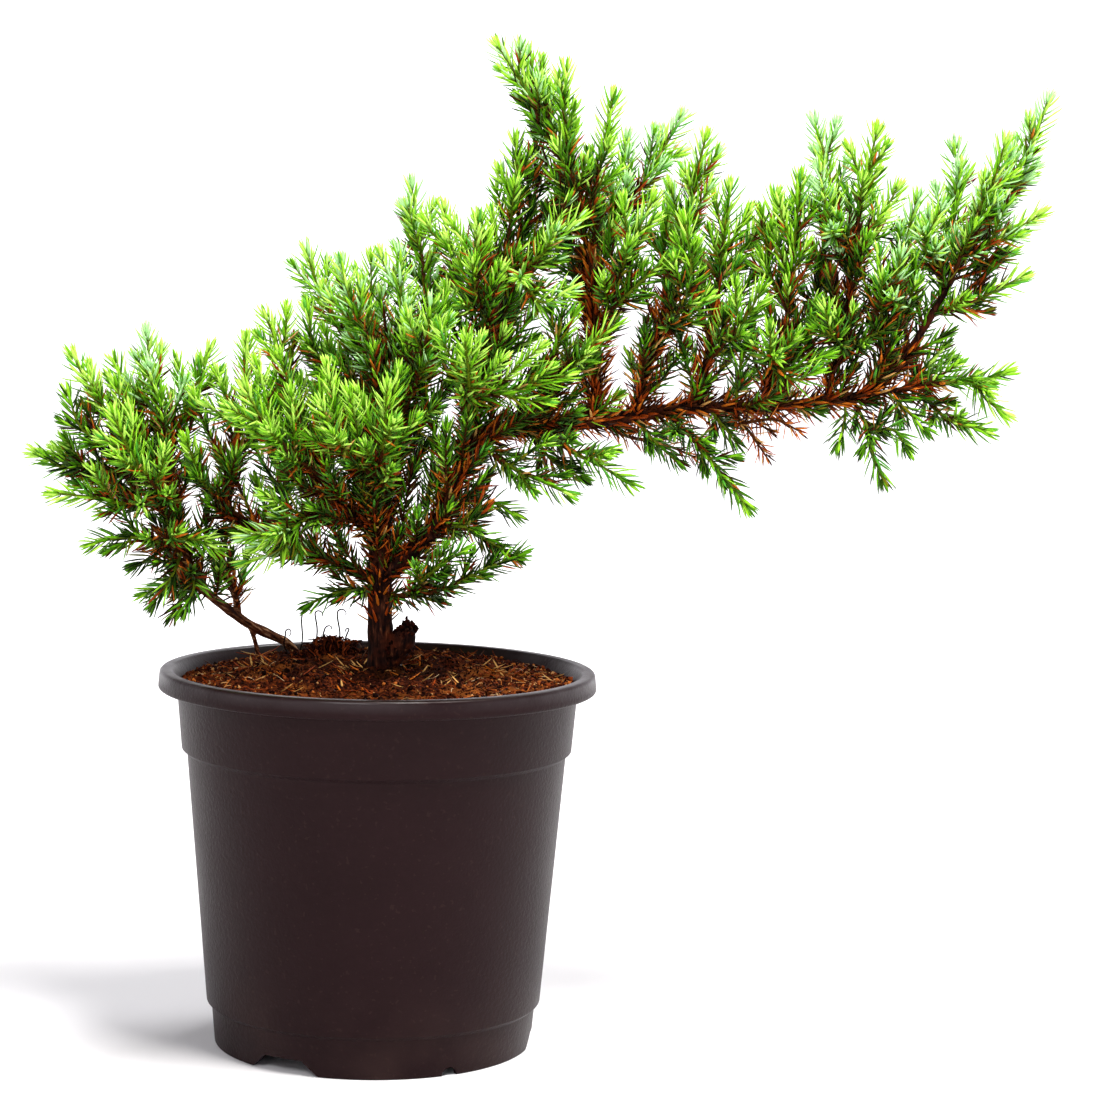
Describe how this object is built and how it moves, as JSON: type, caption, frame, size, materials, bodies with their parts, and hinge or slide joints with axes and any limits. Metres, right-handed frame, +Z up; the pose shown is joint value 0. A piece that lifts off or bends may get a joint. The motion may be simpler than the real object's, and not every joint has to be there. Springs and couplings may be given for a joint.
{
  "type": "potted juniper bonsai",
  "caption": "Young juniper trained as a bonsai, with a long limb to one side and needle-like leaves, growing in a round plastic nursery pot filled with potting mix.",
  "frame": {"origin": "centre of the pot's flat underside, on the surface that the pot stands on", "axes": "+Z up along the pot's axis, +X along the tree's long limb, +Y towards the back of the tree"},
  "size_m": [0.2981, 0.13, 0.297],
  "materials": {
    "pot_plastic": "satin, finely grained, dark brown-black",
    "potting_mix": "loose coir and bark crumbs, matt",
    "bark": "rough flaking bark",
    "green_needles": "fresh waxy needles, satin",
    "dead_needles": "dry rust-brown needles, matt"
  },
  "bodies": {
    "root": {"pot": "pot_plastic", "potting_mix": "potting_mix", "trunk_and_branches": "bark", "side_stem": "bark", "crown_spray_back": "green_needles", "crown_spray_back_right": "green_needles", "crown_spray_front": "green_needles", "crown_spray_front_high": "green_needles", "crown_spray_front_right": "green_needles", "crown_spray_leader": "green_needles", "crown_spray_left": "green_needles", "crown_spray_middle": "green_needles", "crown_spray_peak": "green_needles", "crown_spray_right": "green_needles", "crown_spray_sweep": "green_needles", "dead_spray_hanging": "dead_needles", "dead_spray_limb": "dead_needles", "end_spray_fork": "green_needles", "end_spray_inner": "green_needles", "end_spray_low": "green_needles", "end_spray_middle": "green_needles", "end_spray_side": "green_needles", "end_spray_tip": "green_needles", "end_spray_upper": "green_needles", "fifth_spray_front": "green_needles", "fifth_spray_tip": "green_needles", "fourth_spray_low": "green_needles", "fourth_spray_tip": "green_needles", "hanging_spray_end": "green_needles", "hanging_spray_middle": "green_needles", "left_spray_back": "green_needles", "left_spray_front": "green_needles", "left_spray_inner": "green_needles", "left_spray_low": "green_needles", "left_spray_lowest": "green_needles", "left_spray_outer": "green_needles", "left_spray_small": "green_needles", "left_spray_tip": "green_needles", "left_spray_top": "green_needles", "limb_spray_front": "green_needles", "limb_spray_low": "green_needles", "limb_spray_lowest": "green_needles", "low_left_spray": "green_needles", "low_right_spray": "green_needles", "middle_spray_back": "green_needles", "middle_spray_front": "green_needles", "middle_spray_inner": "green_needles", "middle_spray_low": "green_needles", "middle_spray_top": "green_needles", "middle_spray_upper": "green_needles", "sixth_spray_left": "green_needles", "sixth_spray_low": "green_needles", "sixth_spray_right": "green_needles", "third_spray_front": "green_needles", "third_spray_tip": "green_needles", "top_spray_back": "green_needles", "top_spray_left": "green_needles", "top_spray_low": "green_needles", "top_spray_middle": "green_needles", "top_spray_right": "green_needles"}
  },
  "joints": []
}
